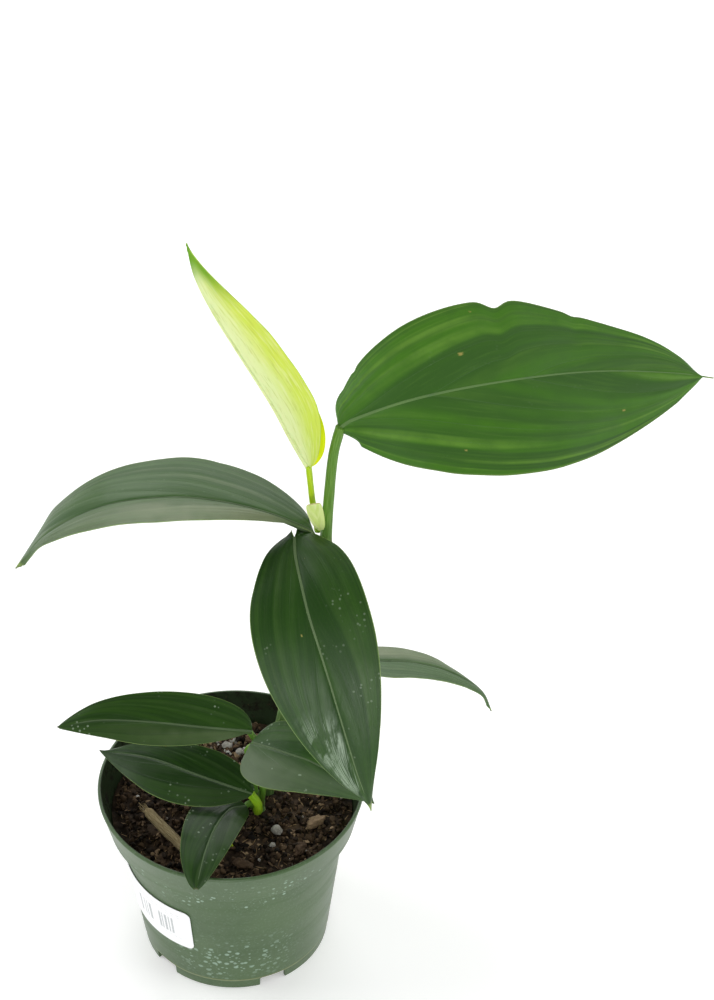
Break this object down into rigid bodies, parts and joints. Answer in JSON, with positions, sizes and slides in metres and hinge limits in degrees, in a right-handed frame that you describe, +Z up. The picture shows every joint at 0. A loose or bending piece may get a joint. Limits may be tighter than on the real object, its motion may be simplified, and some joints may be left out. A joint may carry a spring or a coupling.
{
  "type": "potted dragon tail plant",
  "caption": "Young dragon tail plant with long pointed green leaves and one pale new leaf, rooted in dark soil in a round green plastic nursery pot with a paper label.",
  "frame": {"origin": "middle of the bounding box in plan, on the plane that the pot's foot ring stands on", "axes": "+Z up along the pot's axis, -Y towards the side that the large hanging leaf faces, +X towards the largest leaf"},
  "size_m": [0.2774, 0.1224, 0.3616],
  "materials": {
    "pot_plastic": "satin moulded green plastic with pale water marks",
    "label_paper": "smooth white paper with grey bars",
    "soil": "rough moist peat",
    "perlite": "rough white expanded grains",
    "bark": "rough bark chips",
    "root_skin": "matte fleshy roots",
    "dry_stem": "dry frayed stem",
    "new_leaf": "satin lime new leaf",
    "sheath": "satin cream sheath",
    "young_stem": "satin lime stem",
    "leaf": "glossy dark green leaf with parallel veins",
    "stem": "satin green stem"
  },
  "bodies": {
    "root": {"bark_1": "bark", "bark_2": "bark", "bark_3": "bark", "bark_4": "bark", "bark_5": "bark", "bark_6": "bark", "bark_7": "bark", "bark_8": "bark", "dry_stub": "dry_stem", "leaf_1_blade": "new_leaf", "leaf_1_petiole": "young_stem", "leaf_1_sheath": "sheath", "leaf_2_blade": "leaf", "leaf_2_petiole": "stem", "leaf_3_blade": "leaf", "leaf_3_petiole": "stem", "leaf_4_blade": "leaf", "leaf_4_petiole": "stem", "leaf_5_blade": "leaf", "leaf_5_petiole": "stem", "leaf_6_blade": "leaf", "leaf_6_petiole": "stem", "leaf_7_blade": "leaf", "leaf_7_petiole": "young_stem", "leaf_8_blade": "leaf", "leaf_8_petiole": "stem", "leaf_9_blade": "leaf", "leaf_9_petiole": "stem", "main_root_1": "root_skin", "main_root_2": "root_skin", "main_root_3": "root_skin", "main_root_4": "root_skin", "main_stem": "stem", "perlite_1": "perlite", "perlite_2": "perlite", "perlite_3": "perlite", "perlite_4": "perlite", "perlite_5": "perlite", "perlite_6": "perlite", "pot": "pot_plastic", "pot_label": "label_paper", "side_root_1": "root_skin", "side_root_2": "root_skin", "side_root_3": "root_skin", "side_root_4": "root_skin", "side_stem": "stem", "soil": "soil", "sprout": "young_stem"}
  },
  "joints": []
}
